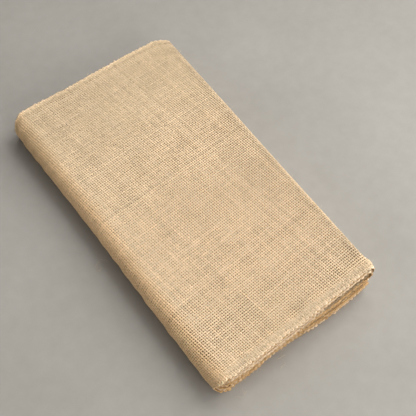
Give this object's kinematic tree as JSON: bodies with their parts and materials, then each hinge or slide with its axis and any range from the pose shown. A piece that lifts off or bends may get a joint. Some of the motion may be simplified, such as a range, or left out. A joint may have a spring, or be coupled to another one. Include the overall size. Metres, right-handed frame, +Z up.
{
  "type": "folded table runner",
  "caption": "Length of open plain-weave natural jute cloth for a table, folded in half again and again into a flat oblong stack with woven edges at both ends.",
  "frame": {"origin": "middle of the folded stack's box, on the surface that it lies on", "axes": "+Z up; +Y along the folds, from one woven end to the other; +X from the closed side, where the last fold wraps the whole stack, to the open side"},
  "size_m": [0.166, 0.3068, 0.0365],
  "materials": {
    "jute_cloth": "dry open plain weave of natural jute yarn, uneven thick and thin threads, matte with a faint fibre sheen"
  },
  "bodies": {
    "root": {"runner_cloth": "jute_cloth"}
  },
  "joints": []
}
